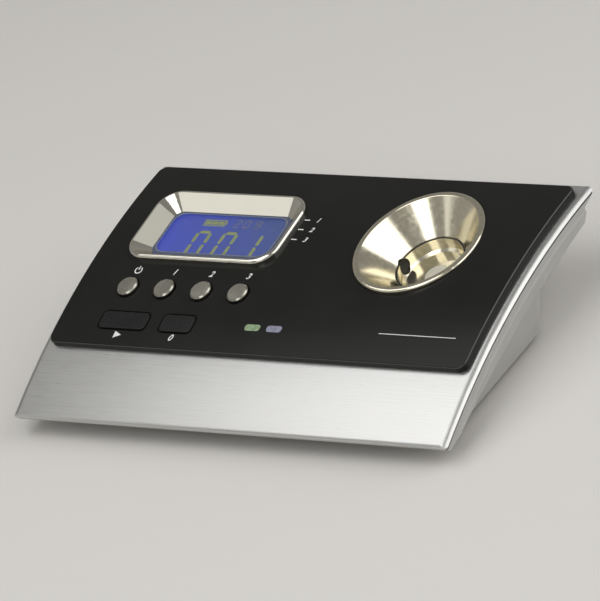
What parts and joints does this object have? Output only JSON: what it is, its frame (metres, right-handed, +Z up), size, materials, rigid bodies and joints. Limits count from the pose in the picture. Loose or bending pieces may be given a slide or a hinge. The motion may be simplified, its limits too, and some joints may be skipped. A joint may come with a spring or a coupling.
{
  "type": "digital refractometer",
  "caption": "Low wedge-shaped bench refractometer with a curved steel top, black panel, display, buttons and a polished conical sample cup.",
  "frame": {"origin": "on the table under the middle of the instrument, at its bounding box's bottom centre", "axes": "+X to the user's right along the front edge, +Y to the back, +Z up"},
  "size_m": [0.17, 0.1024, 0.0342],
  "materials": {
    "brushed_steel": "brushed along the front edge",
    "black_panel": "satin near-black",
    "grey_plastic": "fine moulded texture",
    "black_rubber": "matte",
    "screw_steel": "bright plated",
    "chrome_trim": "mirror polished",
    "clear_window": "clear",
    "blue_display": "lit blue",
    "green_light": "translucent",
    "violet_light": "translucent",
    "circuit_board": "solder mask",
    "black_moulding": "matte",
    "led_resin": "clear resin",
    "ribbon_film": "amber film",
    "battery_can": "printed sleeve, plain",
    "polished_steel": "polished",
    "optical_glass": "polished",
    "filter_film": "grey polarising",
    "satin_button": "satin nickel",
    "black_key": "matte black"
  },
  "bodies": {
    "housing": {"top_plate": "brushed_steel", "front_panel": "black_panel", "housing_gasket": "black_rubber", "upper_housing": "grey_plastic", "lower_housing": "grey_plastic", "rubber_feet": "black_rubber", "housing_screws": "screw_steel", "board_screws": "screw_steel", "lcd_bezel": "chrome_trim", "lcd_window": "clear_window", "lcd_module": "blue_display", "status_light_green": "green_light", "status_light_violet": "violet_light", "key_board": "circuit_board", "main_board": "circuit_board", "sensor_board": "circuit_board", "tact_switches": "black_moulding", "processor": "black_moulding", "optics_block": "black_moulding", "image_sensor": "black_moulding", "status_leds": "led_resin", "refractometer_led": "led_resin", "polarimeter_led": "led_resin", "display_ribbon": "ribbon_film", "key_ribbon": "ribbon_film", "battery_1": "battery_can", "battery_2": "battery_can", "battery_contacts": "screw_steel", "sample_cup": "polished_steel", "cup_gasket": "black_rubber", "measuring_prism": "optical_glass", "cell_windows": "optical_glass", "focusing_lens": "optical_glass", "polarizer": "filter_film", "analyzer": "filter_film", "photodiode": "screw_steel", "temperature_sensor": "screw_steel"},
    "power_button": {"button_power": "satin_button"},
    "first_button": {"button_1": "satin_button"},
    "second_button": {"button_2": "satin_button"},
    "third_button": {"button_3": "satin_button"},
    "start_button": {"start_key": "black_key"},
    "zero_button": {"zero_key": "black_key"},
    "cover": {"battery_cover": "grey_plastic"}
  },
  "joints": [
    {"name": "power_button_press", "type": "slide", "parent": "housing", "child": "power_button", "axis": [0, 0.2339, -0.9723], "range_m": [0, 0.0005], "stiffness_N_per_m": 600, "springref_m": -0.001},
    {"name": "first_button_press", "type": "slide", "parent": "housing", "child": "first_button", "axis": [0, 0.2339, -0.9723], "range_m": [0, 0.0005], "stiffness_N_per_m": 600, "springref_m": -0.001},
    {"name": "second_button_press", "type": "slide", "parent": "housing", "child": "second_button", "axis": [0, 0.2339, -0.9723], "range_m": [0, 0.0005], "stiffness_N_per_m": 600, "springref_m": -0.001},
    {"name": "third_button_press", "type": "slide", "parent": "housing", "child": "third_button", "axis": [0, 0.2339, -0.9723], "range_m": [0, 0.0005], "stiffness_N_per_m": 600, "springref_m": -0.001},
    {"name": "start_button_press", "type": "slide", "parent": "housing", "child": "start_button", "axis": [0, 0.284, -0.9588], "range_m": [0, 0.0005], "stiffness_N_per_m": 600, "springref_m": -0.001},
    {"name": "zero_button_press", "type": "slide", "parent": "housing", "child": "zero_button", "axis": [0, 0.284, -0.9588], "range_m": [0, 0.0005], "stiffness_N_per_m": 600, "springref_m": -0.001},
    {"name": "cover_slide", "type": "slide", "parent": "housing", "child": "cover", "axis": [0, 1, 0], "range_m": [0, 0.008]}
  ]
}
